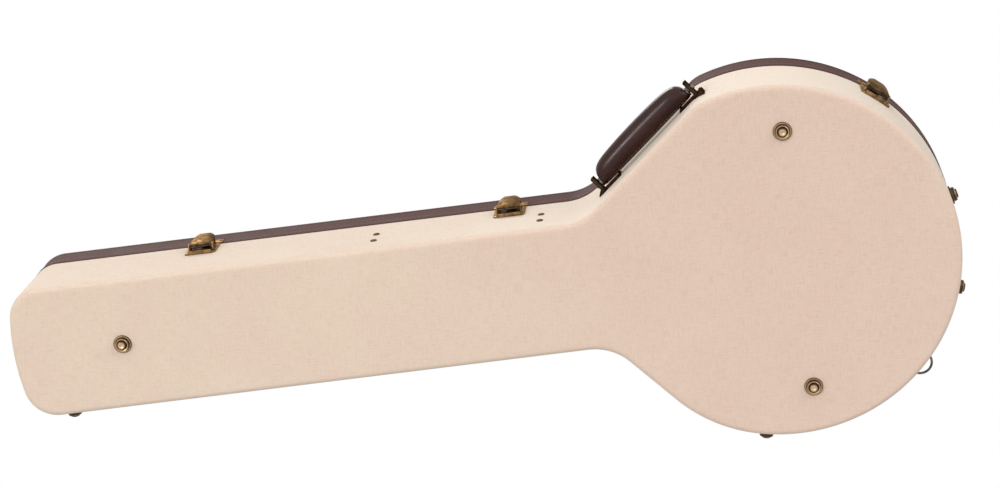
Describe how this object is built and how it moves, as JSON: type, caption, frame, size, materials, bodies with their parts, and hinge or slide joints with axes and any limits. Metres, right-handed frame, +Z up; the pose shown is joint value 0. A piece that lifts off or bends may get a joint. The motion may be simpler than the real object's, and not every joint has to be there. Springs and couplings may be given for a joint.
{
  "type": "banjo case",
  "caption": "Hard case in the outline of a banjo, with a hinged arched lid, flip latches, a padded handle, metal feet and a plush-lined inside with a flap-topped compartment.",
  "frame": {"origin": "middle of the underside, on the surface that the bottom feet stand on, with the case lying flat and the lid up", "axes": "+X towards the drum end, +Y towards the hinges, -Y towards the latches and handle, +Z up through the lid"},
  "size_m": [1.0836, 0.4186, 0.168],
  "materials": {
    "linen_covered_ply": "plywood covered in natural linen cloth",
    "leatherette_covered_ply": "plywood covered in dark brown grained leatherette",
    "plush_foam": "wine-red plush over soft padding",
    "plush_covered_board": "thin board wrapped in wine-red plush",
    "antique_brass": "antique brass, worn bright on the edges",
    "dark_steel": "darkened steel",
    "brown_leather": "dark brown stitched leather"
  },
  "bodies": {
    "base": {"foot_bottom_drum_latch_side": "antique_brass", "foot_bottom_drum_hinge_side": "antique_brass", "foot_bottom_head": "antique_brass", "foot_side_drum": "antique_brass", "foot_side_head": "antique_brass", "foot_end_latch_side": "antique_brass", "foot_end_hinge_side": "antique_brass", "latch_head_base": "antique_brass", "latch_head_pin": "dark_steel", "latch_waist_base": "antique_brass", "latch_waist_pin": "dark_steel", "latch_drum_base": "antique_brass", "latch_drum_pin": "dark_steel", "hinge_drum_base_leaf": "antique_brass", "hinge_drum_pin": "dark_steel", "hinge_head_base_leaf": "antique_brass", "hinge_head_pin": "dark_steel", "handle_plate_drum_end": "antique_brass", "handle_plate_waist_end": "antique_brass", "strap_ring_clip": "antique_brass", "partition_rivet_head_latch_low": "dark_steel", "partition_rivet_head_latch_high": "dark_steel", "partition_rivet_head_hinge_low": "dark_steel", "partition_rivet_head_hinge_high": "dark_steel", "partition_rivet_drum_latch_low": "dark_steel", "partition_rivet_drum_latch_high": "dark_steel", "partition_rivet_drum_hinge_low": "dark_steel", "partition_rivet_drum_hinge_high": "dark_steel", "base_bottom_panel": "linen_covered_ply", "base_side_wall": "linen_covered_ply", "base_valance": "plush_covered_board", "base_floor_pad": "plush_foam", "base_side_lining": "plush_foam", "compartment_partition_head": "plush_covered_board", "compartment_partition_drum": "plush_covered_board", "compartment_ledge": "plush_covered_board", "compartment_top_board": "plush_covered_board", "neck_rest": "plush_foam"},
    "lid": {"latch_head_keeper": "antique_brass", "latch_waist_keeper": "antique_brass", "latch_drum_keeper": "antique_brass", "hinge_drum_lid_leaf": "antique_brass", "hinge_head_lid_leaf": "antique_brass", "lid_rim": "leatherette_covered_ply", "lid_edge_binding": "brown_leather", "lid_top_panel": "linen_covered_ply", "lid_ceiling_pad": "plush_foam", "lid_side_lining": "plush_foam"},
    "latch_head": {"latch_head_hood": "antique_brass"},
    "latch_waist": {"latch_waist_hood": "antique_brass"},
    "latch_drum": {"latch_drum_hood": "antique_brass"},
    "handle_slide": {"handle_pin_drum_end": "antique_brass", "handle_pin_waist_end": "antique_brass"},
    "handle": {"handle_grip": "brown_leather"},
    "strap_ring": {"strap_ring": "dark_steel"},
    "compartment_flap": {"compartment_flap": "plush_covered_board", "compartment_flap_tab": "brown_leather"}
  },
  "joints": [
    {"name": "lid_hinge", "type": "hinge", "parent": "base", "child": "lid", "pos_m": [0.30511, 0.20497, 0.1143], "axis": [-0.9887, -0.1499, 0], "range_deg": [0, 105]},
    {"name": "latch_head_hinge", "type": "hinge", "parent": "base", "child": "latch_head", "pos_m": [-0.32208, -0.08039, 0.09], "axis": [1, 0.0041, 0], "range_deg": [0, 100]},
    {"name": "latch_waist_hinge", "type": "hinge", "parent": "base", "child": "latch_waist", "pos_m": [0.03892, -0.0789, 0.09], "axis": [1, 0.0041, 0], "range_deg": [0, 100]},
    {"name": "latch_drum_hinge", "type": "hinge", "parent": "base", "child": "latch_drum", "pos_m": [0.4682, -0.1586, 0.09], "axis": [0.7716, 0.6361, 0], "range_deg": [0, 100]},
    {"name": "handle_pull", "type": "slide", "parent": "base", "child": "handle_slide", "axis": [-0.6361, -0.7716, 0], "range_m": [0, 0.007]},
    {"name": "handle_swing", "type": "hinge", "parent": "handle_slide", "child": "handle", "pos_m": [0.20559, -0.14988, 0.054], "axis": [-0.7716, 0.6361, 0], "range_deg": [-32, 32]},
    {"name": "strap_ring_swing", "type": "hinge", "parent": "base", "child": "strap_ring", "pos_m": [0.47913, 0.15022, 0.058], "axis": [0.7193, -0.6947, 0], "range_deg": [-60, 60]},
    {"name": "compartment_flap_hinge", "type": "hinge", "parent": "base", "child": "compartment_flap", "pos_m": [0.33589, 0.00806, 0.074], "axis": [-1, 0, 0], "range_deg": [0, 88]}
  ]
}
